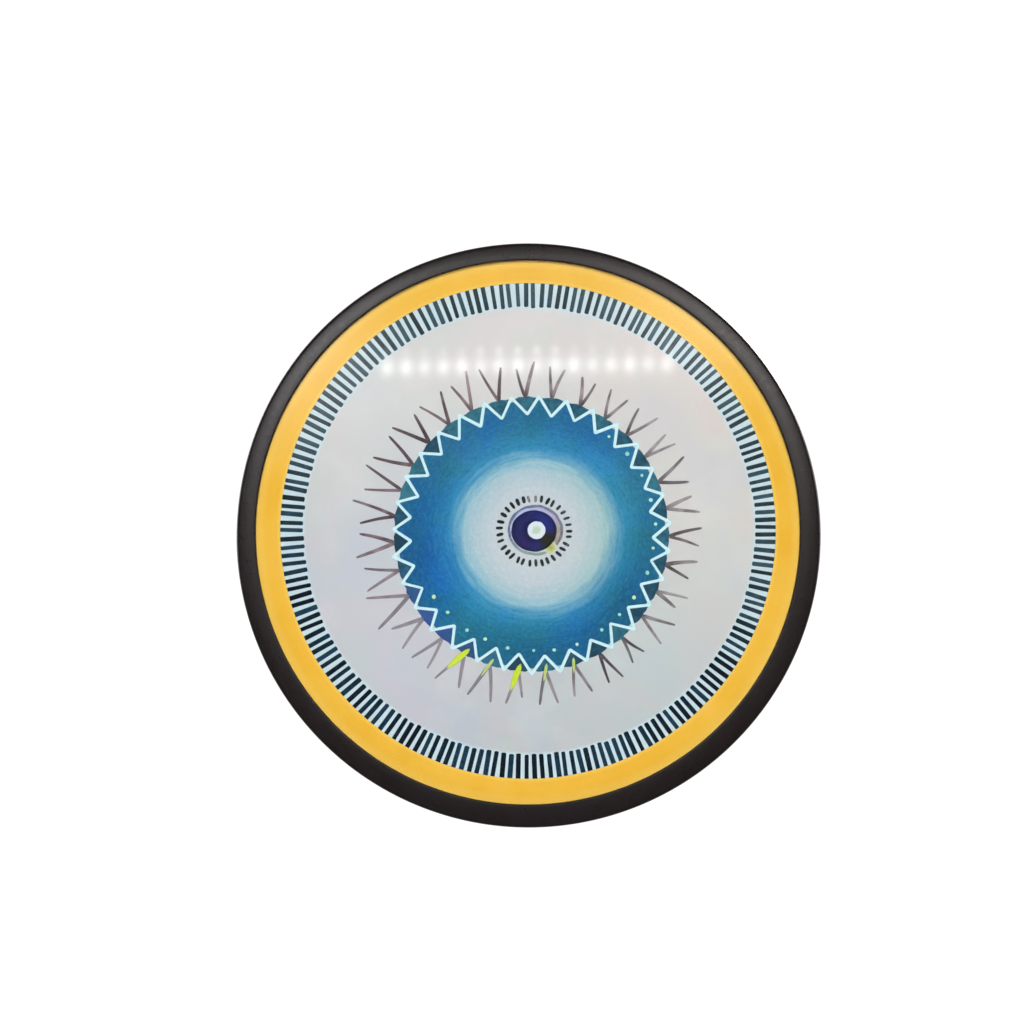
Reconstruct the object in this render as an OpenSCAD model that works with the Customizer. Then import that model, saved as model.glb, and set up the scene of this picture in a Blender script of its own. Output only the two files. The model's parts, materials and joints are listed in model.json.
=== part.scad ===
/* [Frame] */
// Outer radius of the ring frame
outer_r = 150; // [145:1:160]
// Depth of the frame from its back plane to its front
frame_depth = 16; // [15:0.5:20]
// Thickness of the front lip that holds the pane
lip_t = 4; // [3:0.5:6]
// Radius of the rebate that the glazing stack drops into
rebate_r = 143.5; // [142:0.5:144]
// Radius of the sight opening in the lip
sight_r = 139.5; // [130:0.5:140]
// How far the sight opening sits left of and above the middle
sight_offset = [-0.4, 1.5];
// Round on the outer front edge
front_round = 3; // [1:0.5:4]
// Round on the front edge of the sight opening
sight_round = 1; // [0.5:0.25:2]

/* [Glazing stack] */
// Radial play of the pane, card and boards in the rebate
stack_play = 0.5; // [0.3:0.1:1]
// Thickness of the clear pane
pane_t = 2; // [2:0.5:2.5]
// Thickness of the window mat
mat_t = 1.4; // [1:0.2:1.6]
// Radius of the window in the mat
mat_window_r = 127.7; // [120:0.1:130]
// How far the window sits left of and above the middle
mat_offset = [-0.3, 2.3];
// Thickness of the painted card
card_t = 1.2; // [0.8:0.2:1.4]
// Thickness of the backing board
back_t = 3; // [2.5:0.5:3]

/* [Turn buttons] */
// Number of turn buttons around the frame
button_count = 6; // [6:1:6]
// Angle of the first turn button, counted from the right
button_start = 30; // [20:1:40]
// Distance from the pivot to the middle of the tip
button_reach = 15; // [12:1:18]
// Half width of a turn button, which stays inside the frame's outline
button_r = 3; // [2.8:0.1:3.2]
// Thickness of a turn button
button_t = 1.2; // [1:0.1:1.5]
// Radius of the screw's shank
screw_r = 1.25; // [1:0.05:1.5]
// Radius of the screw's head
screw_head_r = 2.6; // [2.4:0.1:3]
// Height of the screw's head
screw_head_h = 1.6; // [1.2:0.1:2]
// Depth that the screw goes into the frame
screw_depth = 9; // [6:0.5:11]
// Gap over and under a turn button, and round its shank hole
swivel_gap = 0.1; // [0.05:0.05:0.15]

/* [Hanger] */
// Height of the hanging eye above the middle of the ornament
hang_rise = 112; // [105:1:115]
// Radius of the hole in the eye
eye_hole_r = 6; // [5:0.25:6]
// Outer radius of the eye
eye_r = 9.5; // [9:0.25:10]
// Thickness of the eye
eye_t = 1.6; // [1.4:0.1:1.8]
// Distance from the eye's bar to the middle of its hole
eye_arm = 11; // [11:0.5:12]
// Radius of the eye's bar
bar_r = 1; // [0.9:0.05:1.1]
// Running clearance of the bar in the knuckle
bar_play = 0.05; // [0.02:0.01:0.1]
// Thickness of the strap
strap_t = 0.8; // [0.7:0.1:1]
// Half width of the strap
strap_half_w = 5; // [4:0.5:5]
// Distances of the two rivets below the bar
rivet_drops = [11, 25.5];
// Radius of a rivet's shank
rivet_r = 1.6; // [1.2:0.1:1.8]
// Radius of a rivet's head
rivet_head_r = 2.6; // [2.2:0.1:3]

/* [Wall bumpers] */
// Radius of a bumper
bumper_r = 6; // [5:0.5:7]
// Height of a bumper
bumper_h = 4; // [3.8:0.1:5]
// Distance of the bumpers from the middle of the ornament
bumper_ring_r = 122; // [110:1:130]
// Angle of each bumper from straight down
bumper_angle = 35; // [30:1:40]

/* [Hidden] */
$fn = 96;

// Overshoot that keeps a cut clear of the face it goes through
cut = 1;

// Heights of the stack's faces above the back plane, from the back to the front
pane_top = frame_depth - lip_t;
mat_top = pane_top - pane_t;
card_top = mat_top - mat_t;
filler_top = card_top - card_t;
filler_t = filler_top - back_t;
stack_r = rebate_r - stack_play;

// Pitch circle of the turn buttons, in the middle of the frame's back land
land_r = (outer_r + rebate_r) / 2;
button_angles = [for (i = [0 : button_count - 1]) button_start + i * 360 / button_count];

// The eye's bar turns in the strap's rolled knuckle, which rests on the back plane
knuckle_r = bar_r + bar_play + strap_t;
bar_y = hang_rise - eye_arm;
bar_half_l = strap_half_w + 2.5;
window_half_w = strap_half_w + 0.25;
window_top = knuckle_r + 0.6;
leg_top = eye_arm / 2;

// Rivets: the head outside the strap, and the clinched tail in a pocket of the filler board
rivet_head_h = 1;
rivet_tail_h = 0.8;
rivet_tail_r = rivet_head_r + 0.4;
pocket_r = rivet_tail_r + 1;
pocket_depth = rivet_tail_h + 0.4;

// Bumper: a low dome with a flat top
bumper_round = 2;

// Turns the working frame (x right, y up, z to the viewer, back plane at z = 0)
// into the part's frame, whose origin is the middle of the hanging eye's hole.
module place() {
    translate([0, -knuckle_r, -hang_rise])
        rotate([90, 0, 0])
            children();
}

// A disc from one height to another, with its middle moved if asked
module disc(r, low, high, middle = [0, 0]) {
    translate([middle[0], middle[1], low])
        cylinder(r = r, h = high - low);
}

// Half section of the frame's solid blank: square back edge, rounded front edge
module frame_section() {
    square([outer_r, frame_depth - front_round]);
    square([outer_r - front_round, frame_depth]);
    translate([outer_r - front_round, frame_depth - front_round])
        intersection() {
            circle(r = front_round);
            square(front_round);
        }
}

// The sharp corner that rounding the sight opening's front edge takes away
module sight_round_cut() {
    translate([sight_offset[0], sight_offset[1], frame_depth - sight_round])
        rotate_extrude()
            translate([sight_r, 0])
                difference() {
                    square(sight_round);
                    translate([sight_round, 0])
                        circle(r = sight_round);
                }
}

module at_button(angle) {
    rotate([0, 0, angle])
        translate([land_r, 0, 0])
            children();
}

module frame_ring() {
    color([0.16, 0.14, 0.12])
        place()
            difference() {
                rotate_extrude()
                    frame_section();
                disc(rebate_r, -cut, pane_top);
                disc(sight_r, pane_top - cut, frame_depth + cut, sight_offset);
                sight_round_cut();
                for (angle = button_angles)
                    at_button(angle)
                        disc(screw_r, -cut, screw_depth);
            }
}

module glazing_pane() {
    color([0.85, 0.93, 0.95, 0.35])
        place()
            disc(stack_r, mat_top, pane_top);
}

module mat_ring() {
    color([0.97, 0.72, 0.2])
        place()
            difference() {
                disc(stack_r, card_top, mat_top);
                disc(mat_window_r, card_top - cut, mat_top + cut, mat_offset);
            }
}

module artwork_card() {
    color([0.82, 0.83, 0.83])
        place()
            disc(stack_r, filler_top, card_top);
}

module filler_board() {
    color([0.8, 0.72, 0.58])
        place()
            difference() {
                disc(stack_r, back_t, filler_top);
                for (drop = rivet_drops)
                    disc(pocket_r, back_t - cut, back_t + pocket_depth, [0, bar_y - drop]);
            }
}

module backing_board() {
    color([0.45, 0.33, 0.22])
        place()
            difference() {
                disc(stack_r, 0, back_t);
                for (drop = rivet_drops)
                    disc(rivet_r, -cut, back_t + cut, [0, bar_y - drop]);
            }
}

// A stamped plate with round ends: the pivot hole at one, the tip over the backing board
module turn_button(angle) {
    low = -swivel_gap - button_t;
    high = -swivel_gap;
    color([0.72, 0.7, 0.64])
        place()
            at_button(angle)
                difference() {
                    union() {
                        disc(button_r, low, high);
                        disc(button_r, low, high, [-button_reach, 0]);
                        translate([-button_reach, -button_r, low])
                            cube([button_reach, 2 * button_r, button_t]);
                    }
                    disc(screw_r + swivel_gap / 2, low - cut, high + cut);
                }
}

module turn_button_1() { turn_button(button_angles[0]); }
module turn_button_2() { turn_button(button_angles[1]); }
module turn_button_3() { turn_button(button_angles[2]); }
module turn_button_4() { turn_button(button_angles[3]); }
module turn_button_5() { turn_button(button_angles[4]); }
module turn_button_6() { turn_button(button_angles[5]); }

// Pan-head screw with a cross recess; its head faces the wall
module pan_screw() {
    head_low = -2 * swivel_gap - button_t - screw_head_h;
    head_edge = 0.8;
    tip_h = 2;
    recess = [2.8, 0.6, 0.9];
    difference() {
        union() {
            disc(screw_r, head_low + screw_head_h, screw_depth - tip_h);
            translate([0, 0, screw_depth - tip_h])
                cylinder(r1 = screw_r, r2 = 0.2, h = tip_h);
            disc(screw_head_r, head_low + head_edge, head_low + screw_head_h);
            translate([0, 0, head_low])
                cylinder(r1 = screw_head_r - head_edge, r2 = screw_head_r, h = head_edge);
        }
        for (turn = [0, 90])
            rotate([0, 0, turn])
                translate([-recess[0] / 2, -recess[1] / 2, head_low - cut])
                    cube([recess[0], recess[1], recess[2] + cut]);
    }
}

module turn_button_screws() {
    color([0.78, 0.76, 0.7])
        place()
            for (angle = button_angles)
                at_button(angle)
                    pan_screw();
}

// Strap with a rolled knuckle at its top and a round lower end
module hanger_strap() {
    end_y = bar_y - rivet_drops[1];
    color([0.75, 0.72, 0.62])
        place()
            difference() {
                union() {
                    translate([-strap_half_w, end_y, -strap_t])
                        cube([2 * strap_half_w, rivet_drops[1], strap_t]);
                    disc(strap_half_w, -strap_t, 0, [0, end_y]);
                    translate([-strap_half_w, bar_y, -knuckle_r])
                        rotate([0, 90, 0])
                            cylinder(r = knuckle_r, h = 2 * strap_half_w);
                }
                translate([-strap_half_w - cut, bar_y, -knuckle_r])
                    rotate([0, 90, 0])
                        cylinder(r = bar_r + bar_play, h = 2 * (strap_half_w + cut));
                for (drop = rivet_drops)
                    disc(rivet_r, -strap_t - cut, cut, [0, bar_y - drop]);
            }
}

// Stamped eye: a round hole for the hook, two legs, and a bar through the knuckle
module hanger_eye() {
    low = -knuckle_r - eye_t / 2;
    high = -knuckle_r + eye_t / 2;
    color([0.75, 0.72, 0.62])
        place()
            union() {
                difference() {
                    union() {
                        disc(eye_r, low, high, [0, hang_rise]);
                        translate([-bar_half_l, bar_y, low])
                            cube([2 * bar_half_l, leg_top, eye_t]);
                    }
                    disc(eye_hole_r, low - cut, high + cut, [0, hang_rise]);
                    translate([-window_half_w, bar_y - cut, low - cut])
                        cube([2 * window_half_w, window_top + cut, eye_t + 2 * cut]);
                }
                translate([-bar_half_l, bar_y, -knuckle_r])
                    rotate([0, 90, 0])
                        cylinder(r = bar_r, h = 2 * bar_half_l);
            }
}

module hanger_rivets() {
    color([0.7, 0.68, 0.6])
        place()
            for (drop = rivet_drops)
                translate([0, bar_y - drop, 0]) {
                    disc(rivet_r, -strap_t, back_t);
                    disc(rivet_tail_r, back_t, back_t + rivet_tail_h);
                    translate([0, 0, -strap_t - rivet_head_h])
                        cylinder(r1 = rivet_head_r - rivet_head_h / 2, r2 = rivet_head_r, h = rivet_head_h);
                }
}

module bumper(side) {
    middle = [side * bumper_ring_r * sin(bumper_angle), -bumper_ring_r * cos(bumper_angle)];
    color([0.2, 0.2, 0.2])
        place()
            translate([middle[0], middle[1], -bumper_h])
                rotate_extrude() {
                    translate([0, bumper_round])
                        square([bumper_r, bumper_h - bumper_round]);
                    square([bumper_r - bumper_round, bumper_h]);
                    translate([bumper_r - bumper_round, bumper_round])
                        intersection() {
                            circle(r = bumper_round);
                            translate([0, -bumper_round])
                                square(bumper_round);
                        }
                }
}

module wall_bumper_left() { bumper(-1); }
module wall_bumper_right() { bumper(1); }

frame_ring();
glazing_pane();
mat_ring();
artwork_card();
filler_board();
backing_board();
turn_button_1();
turn_button_2();
turn_button_3();
turn_button_4();
turn_button_5();
turn_button_6();
turn_button_screws();
hanger_strap();
hanger_eye();
hanger_rivets();
wall_bumper_left();
wall_bumper_right();
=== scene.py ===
import bmesh
import bpy
import json
import math
import random
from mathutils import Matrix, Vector, noise


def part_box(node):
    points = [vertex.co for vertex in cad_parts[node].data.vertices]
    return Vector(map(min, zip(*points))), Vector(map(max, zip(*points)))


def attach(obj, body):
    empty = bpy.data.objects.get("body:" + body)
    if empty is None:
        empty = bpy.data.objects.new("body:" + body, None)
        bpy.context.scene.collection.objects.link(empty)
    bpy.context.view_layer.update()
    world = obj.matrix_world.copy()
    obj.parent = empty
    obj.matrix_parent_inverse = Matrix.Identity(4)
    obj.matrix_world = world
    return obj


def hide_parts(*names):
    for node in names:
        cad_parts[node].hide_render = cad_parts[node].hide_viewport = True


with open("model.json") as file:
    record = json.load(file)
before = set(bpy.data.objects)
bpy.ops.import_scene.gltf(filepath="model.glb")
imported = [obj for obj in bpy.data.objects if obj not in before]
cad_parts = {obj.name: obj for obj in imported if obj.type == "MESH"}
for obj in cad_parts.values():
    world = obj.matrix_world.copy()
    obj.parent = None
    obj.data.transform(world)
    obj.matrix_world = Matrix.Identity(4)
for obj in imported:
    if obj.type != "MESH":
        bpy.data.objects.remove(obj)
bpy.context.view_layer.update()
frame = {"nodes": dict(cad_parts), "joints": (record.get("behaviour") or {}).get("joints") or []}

# ---- sizes, in millimetres
MM = 0.001
BODY = "ornament"

ring_low, ring_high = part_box("frame_ring")
CENTRE_X = 0.0
CENTRE_Z = (ring_low.z + ring_high.z) / 2
FRONT_Y = ring_low.y
BACK_Y = ring_high.y
PANE_FRONT_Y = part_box("glazing_pane")[0].y
CARD_FRONT_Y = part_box("artwork_card")[0].y
OUTER_R = (ring_high.z - ring_low.z) / 2 / MM
OWN = (0.0, 0.0)  # the ornament's own middle
REBATE_R = 143.5
STACK_R = 143.0
SIGHT_R = 139.5
SIGHT_OFFSET = (-0.4, 1.5)
WINDOW_R = 127.35
WINDOW_OFFSET = (-0.3, 2.3)
FRONT_ROUND = 2.0
FACE_FALL = 1.1
SIGHT_ROUND = 1.0
MAT_GAP = 0.12 * MM
MAT_EASE = 0.12
RING_TURNS = 512
DISC_TURNS = 384

# the painting: middles are (right, up) of the ornament's middle
TICK_MIDDLE = (0.3, 2.4)
TICK_COUNT = 187
TICK_INNER_R = 115.4
TICK_OUTER_R = 128.6
TICK_OVAL = 0.65
TICK_W = 2.36
TICK_LIFT = 0.16
IRIS_MIDDLE = (1.55, 0.6)
IRIS_R = 69.0
PALE_MIDDLE = (3.4, 0.9)
TOOTH_COUNT = 31
TOOTH_START = 87.0
TOOTH_OUTER_R = 71.5
TOOTH_INNER_R = 62.0
ZIGZAG_W = 1.85
ZIGZAG_LIFT = 0.22
WEDGE_EDGE_R = 70.0
WEDGE_RISE = 0.8
WEDGE_NOTCH = 0.1
WEDGE_LIFT = 0.13
LASH_ROOT_R = 70.2
LASH_W = 2.15
LASH_LIFT = 0.14
YELLOW_LIFT = 0.2
YELLOW_PLACES = (235, 293)
DOT_R = 61.6
DOT_LIFT = 0.3
NO_DOTS = (60, 205)
PUPIL_MIDDLE = (2.8, 2.3)
PUPIL_TICK_COUNT = 33
PUPIL_TICK_INNER_R = 15.3
PUPIL_TICK_OUTER_R = 19.15
PUPIL_TICK_W = 1.9
PUPIL_TICK_LIFT = 0.2
NAVY_R = (11.8, 10.8)
HALO_MIDDLE = (3.5, 2.7)
HALO_R = (14.4, 13.2)
OUTLINE_W = 1.4
PATCH_MIDDLE = (11.2, -6.2)
PATCH_R = (3.5, 3.4)
GLINT_MIDDLE = (4.1, 2.7)
GLINT_R = 4.7

rng = random.Random(31)


# ---- small helpers
def srgb(r, g, b):
    """An 8-bit sRGB colour as linear RGBA."""
    def linear(v):
        v /= 255
        return v / 12.92 if v <= 0.04045 else ((v + 0.055) / 1.055) ** 2.4
    return (linear(r), linear(g), linear(b), 1.0)


def on_card(x, z, lift):
    """A point on the painted card, in millimetres from the ornament's middle."""
    return Vector((CENTRE_X + x * MM, CARD_FRONT_Y - lift * MM, CENTRE_Z + z * MM))


def polar_point(middle, radius, degrees):
    """The point at an angle and a distance from middle."""
    a = math.radians(degrees)
    return (middle[0] + radius * math.cos(a), middle[1] + radius * math.sin(a))


def arc(radius, start, end, steps, middle=(0.0, 0.0)):
    """Points along part of a circle, from start to end in degrees."""
    turn = [start + (end - start) * s / steps for s in range(steps + 1)]
    return [polar_point(middle, radius, degrees) for degrees in turn]


def oval(radii, steps, middle=(0.0, 0.0)):
    """A closed row of points round an oval."""
    turn = [2 * math.pi * s / steps for s in range(steps)]
    return [(middle[0] + radii[0] * math.cos(a), middle[1] + radii[1] * math.sin(a)) for a in turn]


def circle(radius, steps, middle=(0.0, 0.0)):
    return oval((radius, radius), steps, middle)


def wobble(seed, angle, rate, size):
    """A smooth random number that closes on itself round a circle."""
    a = math.radians(angle)
    return noise.noise(Vector((math.cos(a) * rate, math.sin(a) * rate, seed))) * size


def jitter(size):
    return rng.uniform(-size, size)


def corners(bm, points, value, layer_name="tone"):
    """New corners at points, each with a value for the material to read."""
    layer = bm.verts.layers.float.get(layer_name) or bm.verts.layers.float.new(layer_name)
    row = [bm.verts.new(point) for point in points]
    for vert in row:
        vert[layer] = value
    return row


def skin(bm, rows):
    """Joins round rows of corners in turn with bands of faces."""
    for a, b in zip(rows, rows[1:]):
        for s in range(len(a)):
            n = (s + 1) % len(a)
            bm.faces.new((a[s], a[n], b[n], b[s]))


def join_rows(bm, rows, closed=False):
    """Skins rows of corners; the ends are capped or, if closed, joined."""
    skin(bm, rows + (rows[:1] if closed else []))
    if not closed:
        bm.faces.new(rows[0])
        bm.faces.new(rows[-1][::-1])


def loft(bm, loops, closed=False):
    """Skins loops of points in turn."""
    join_rows(bm, [[bm.verts.new(point) for point in loop] for loop in loops], closed)


def add_object(name, data):
    """A new object in the scene."""
    thing = bpy.data.objects.new(name, data)
    bpy.context.scene.collection.objects.link(thing)
    return thing


def mesh_object(name, bm, material):
    """Turns a bmesh into an object with one material."""
    mesh = bpy.data.meshes.new(name)
    bm.to_mesh(mesh)
    bm.free()
    mesh.materials.append(material)
    return add_object(name, mesh)


def finish_piece(name, bm, material, node=None, smooth=True, body=BODY, split=None):
    """A piece that rides on a body; edges bent more than split degrees are shaded sharp."""
    bmesh.ops.recalc_face_normals(bm, faces=bm.faces)
    piece = mesh_object(name, bm, material)
    for face in piece.data.polygons:
        face.use_smooth = smooth
    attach(piece, body)
    if node:
        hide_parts(node)
    if split:
        modifier = piece.modifiers.new("edges", "EDGE_SPLIT")
        modifier.split_angle = math.radians(split)


# ---- paint and ink in relief
ACROSS = (-1.0, -0.72, 0.0, 0.72, 1.0)
DOME = (0.0, 0.72, 1.0, 0.72, 0.0)
SUNK = -0.03
PAINT_EDGE = 0.18


def stroke(bm, points, widths, height, tone, closed=False):
    """A raised stroke of paint along points on the card, domed across, flat underneath."""
    count = len(points)
    rows = []
    for i, (x, z) in enumerate(points):
        before = points[i - 1] if i or closed else points[i]
        after = points[(i + 1) % count] if i + 1 < count or closed else points[i]
        along = Vector((after[0] - before[0], after[1] - before[1])).normalized()
        side = Vector((-along.y, along.x)) * widths[i] / 2
        profile = [(across, SUNK + (height - SUNK) * dome) for across, dome in zip(ACROSS, DOME)]
        row = [on_card(x + side.x * across, z + side.y * across, lift) for across, lift in profile]
        rows.append(corners(bm, row, tone))
    join_rows(bm, rows, closed)


def blunt_widths(steps, width, end_share):
    """Widths along a stroke whose ends are round over end_share of its length."""
    widths = []
    for t in steps:
        edge = min(t, 1 - t) / end_share
        widths.append(width * (math.sqrt(max(1 - (1 - edge) ** 2, 0.02)) if edge < 1 else 1.0))
    return widths


def bar_steps(end_share):
    """Positions along a short bar, closer together where its ends are rounded."""
    ends = [end_share * s for s in (0.0, 0.15, 0.45, 1.0)]
    return ends + [0.5] + [1 - s for s in reversed(ends)]


def radial_bar(bm, middle, inner, outer, degrees, lean, width, height, tone, end_share):
    """One short stroke that points away from middle, leaning a little off the radius."""
    start = polar_point(middle, inner, degrees)
    end = polar_point(middle, outer, degrees + lean)
    steps = bar_steps(end_share)
    points = [(start[0] + (end[0] - start[0]) * t, start[1] + (end[1] - start[1]) * t) for t in steps]
    stroke(bm, points, blunt_widths(steps, width, end_share), height, tone)


def tooth_angle(index):
    """Angle of an outer point of the zigzag; the hand-drawn spacing drifts round the ring."""
    degrees = TOOTH_START + index * 360 / TOOTH_COUNT
    return degrees - 1.45 + 1.4 * math.cos(math.radians(degrees - 70))


def zigzag_bends():
    """The zigzag's corners in turn, outer and inner, with the unevenness of a hand."""
    bends = []
    for i in range(TOOTH_COUNT):
        outer, following = tooth_angle(i), tooth_angle(i + 1)
        inner = (outer + following) / 2 + jitter(0.7)
        bends.append(polar_point(IRIS_MIDDLE, TOOTH_OUTER_R + jitter(0.6), outer))
        bends.append(polar_point(IRIS_MIDDLE, TOOTH_INNER_R + jitter(0.9), inner))
    return bends


def rounded(bends, cut, steps):
    """A closed path through bends, each one rounded over cut millimetres."""
    path = []
    for i, bend in enumerate(bends):
        here = Vector(bend)
        before = (Vector(bends[i - 1]) - here).normalized() * cut
        after = (Vector(bends[(i + 1) % len(bends)]) - here).normalized() * cut
        for s in range(steps + 1):
            t = s / steps
            path.append(tuple(here + before * (1 - t) ** 2 + after * t ** 2))
    return path


def make_zigzag(bends, material):
    """The white line through all bends."""
    bm = bmesh.new()
    path = rounded(bends, 0.5, 3)
    widths = [ZIGZAG_W * (1 + 0.22 * noise.noise(Vector((p[0], p[1], 4.0)) * 0.35)) for p in path]
    stroke(bm, path, widths, ZIGZAG_LIFT, 0.5, closed=True)
    finish_piece("zigzag_line", bm, material)


def make_triangles(bends, material):
    """The dark wedges between the zigzag and the iris's edge, one over each inner corner."""
    bm = bmesh.new()
    for i in range(TOOTH_COUNT):
        left, tip = Vector(bends[2 * i]), Vector(bends[2 * i + 1])
        right = Vector(bends[(2 * i + 2) % len(bends)])
        tone = rng.random()
        start, end = tooth_angle(i), tooth_angle(i + 1)
        crest = []
        for s in range(1, 8):
            share = s / 8
            degrees = start + (end - start) * share
            radius = WEDGE_EDGE_R + WEDGE_RISE * math.sin(math.pi * share)
            radius += wobble(9.0, degrees, 30.0, 0.7)
            crest.append(Vector(polar_point(IRIS_MIDDLE, radius, degrees)))
        outline = [left.lerp(tip, WEDGE_NOTCH)] + crest + [right.lerp(tip, WEDGE_NOTCH), tip]
        rows = [[on_card(p.x, p.y, lift) for p in outline] for lift in (WEDGE_LIFT, SUNK)]
        join_rows(bm, [corners(bm, row, tone) for row in rows])
    finish_piece("edge_triangles", bm, material, smooth=False)


def lash_reach(degrees):
    """Lashes are longest at the left and shortest at the right."""
    cosine = math.cos(math.radians(degrees))
    return 17.9 + 0.5 * math.sin(math.radians(degrees)) - 2.9 * cosine + 2.2 * cosine ** 2


def make_lashes(ink, accent):
    """A V of two tapering strokes over each dark wedge; five of them have a yellow stroke."""
    bm = bmesh.new()
    bright = bmesh.new()
    for i in range(TOOTH_COUNT):
        degrees = (tooth_angle(i) + tooth_angle(i + 1)) / 2
        root = Vector(polar_point(IRIS_MIDDLE, LASH_ROOT_R, degrees + jitter(0.4)))
        spread = 17 + jitter(4)
        lit = YELLOW_PLACES[0] <= degrees % 360 <= YELLOW_PLACES[1]
        for side in (-1, 1):
            aim = degrees + side * spread + jitter(3)
            reach = lash_reach(degrees) * rng.uniform(0.78, 1.1)
            bend = jitter(0.5)
            a = math.radians(aim)
            out = Vector((math.cos(a), math.sin(a)))
            off = Vector((-out.y, out.x)) * bend
            steps = [s / 9 for s in range(10)]
            points = [tuple(root + out * reach * t + off * math.sin(math.pi * t)) for t in steps]
            heavy = LASH_W * rng.uniform(0.82, 1.1)
            widths = [heavy * (1.0 - 0.36 * t ** 1.4) * (0.7 if t == 0 else 1) for t in steps]
            widths[-1] = 0.9
            tone = rng.random()
            stroke(bm, points, widths, LASH_LIFT, tone)
            if lit and side == -1:
                strong = degrees % 360 < 245 or 255 < degrees % 360 < 267
                share = rng.uniform(0.45, 0.6) + (0.2 if strong else 0.0)
                glow = [tuple(root + out * (reach * share * t - 3.4)) for t in steps]
                fat = blunt_widths(steps, 4.6 if strong else 2.6, 0.4)
                fat = [w * (1 - 0.5 * t) for w, t in zip(fat, steps)]
                stroke(bright, glow, fat, YELLOW_LIFT, 0.2 if strong else 0.9)
    finish_piece("lash_strokes", bm, ink)
    finish_piece("yellow_strokes", bright, accent)


def dome(bm, middle, radii, height, tone, turns=16, rings=3):
    """A low round blob of paint."""
    rows = []
    for ring in range(rings + 1):
        share = 1 - ring / (rings + 1)
        lift = SUNK + (height - SUNK) * math.sqrt(1 - share ** 2)
        outline = oval((radii[0] * share, radii[1] * share), turns, middle)
        rows.append(corners(bm, [on_card(x, z, lift) for x, z in outline], tone))
    join_rows(bm, rows)


def make_dots(material):
    """Small dots inside the outer corners, down the right side and along the bottom."""
    bm = bmesh.new()
    for i in range(TOOTH_COUNT):
        degrees = tooth_angle(i)
        place = degrees % 360
        if NO_DOTS[0] < place < NO_DOTS[1]:
            continue
        size = rng.uniform(0.85, 1.25)
        radius = DOT_R + jitter(0.6) + 2.4 * math.cos(math.radians(place - 45))
        spot = polar_point(IRIS_MIDDLE, radius, degrees + jitter(1.2))
        dome(bm, spot, (size, size * rng.uniform(0.85, 1.1)), DOT_LIFT, rng.random())
    finish_piece("pale_dots", bm, material)


def make_tick_ring(material):
    """The ring of bars whose outer ends go under the mat."""
    bm = bmesh.new()
    for i in range(TICK_COUNT):
        degrees = i * 360 / TICK_COUNT
        degrees += 1.9 * math.sin(math.radians(degrees - 150)) + jitter(0.13)
        cosine, sine = math.cos(math.radians(degrees)), math.sin(math.radians(degrees))
        inner = TICK_INNER_R + TICK_OVAL * (2 * cosine ** 2 - 1) + jitter(0.45)
        width = (TICK_W - 0.12 * sine - 0.1 * cosine) * rng.uniform(0.88, 1.12)
        lean = jitter(0.22)
        bar = (inner, TICK_OUTER_R, degrees, lean, width, TICK_LIFT, rng.random(), 0.035)
        radial_bar(bm, TICK_MIDDLE, *bar)
    finish_piece("tick_bars", bm, material)


def make_pupil_ticks(material):
    """The short bars round the pupil, faint above it and a little smaller at the right."""
    bm = bmesh.new()
    for i in range(PUPIL_TICK_COUNT):
        degrees = i * 360 / PUPIL_TICK_COUNT + jitter(0.7)
        stretch = 0.6 * math.cos(math.radians(2 * degrees))
        weak = 0.95 if 78 < degrees < 102 else rng.uniform(0.0, 0.35)
        if degrees < 60 or degrees > 255:
            weak += 0.2
        small = 0.85 if degrees < 45 or degrees > 340 else 1.0
        inner = PUPIL_TICK_INNER_R + stretch + jitter(0.2) + (1 - small) * 4
        outer = PUPIL_TICK_OUTER_R + stretch + jitter(0.25)
        bold = 1.08 if 105 < degrees < 165 else 1.0
        width = PUPIL_TICK_W * small * bold * rng.uniform(0.88, 1.12)
        bar = (inner, outer, degrees, jitter(2), width, PUPIL_TICK_LIFT, weak, 0.3)
        radial_bar(bm, PUPIL_MIDDLE, *bar)
    finish_piece("pupil_ticks", bm, material)


def paint_disc(name, middle, radii, height, material, rings, turns, rough, edge):
    """A disc of paint with a hand-cut edge and fine relief from the brush or pencil."""
    bm = bmesh.new()
    centre = bm.verts.new(on_card(middle[0], middle[1], height))
    loops = []
    flat_share = 1 - PAINT_EDGE / radii[0]
    for ring in range(1, rings + 1):
        share = ring / (rings - 1) * flat_share if ring < rings else 1.0
        loop = []
        for s in range(turns):
            degrees = 360 * s / turns
            a = math.radians(degrees)
            cosine, sine = math.cos(a), math.sin(a)
            grow = 1 + wobble(len(name), degrees, 3.0, edge) * share
            x = middle[0] + radii[0] * share * grow * cosine
            z = middle[1] + radii[1] * share * grow * sine
            relief = noise.noise(Vector((cosine * 5, sine * 5, share * radii[0] * 0.8))) * rough
            lift = height + relief if ring < rings else SUNK
            loop.append(bm.verts.new(on_card(x, z, lift)))
        loops.append(loop)
    for s in range(turns):
        bm.faces.new((centre, loops[0][s], loops[0][(s + 1) % turns]))
    skin(bm, loops)
    bm.faces.new(loops[-1])
    finish_piece(name, bm, material, split=30)


# ---- frame, pane and mat
def round_rows(section, turns):
    """Round loops of points; section is (middle, radius, y) in turn."""
    loops = []
    for middle, radius, y in section:
        ring = circle(radius, turns, middle)
        loops.append([(CENTRE_X + u * MM, y, CENTRE_Z + v * MM) for u, v in ring])
    return loops


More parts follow.
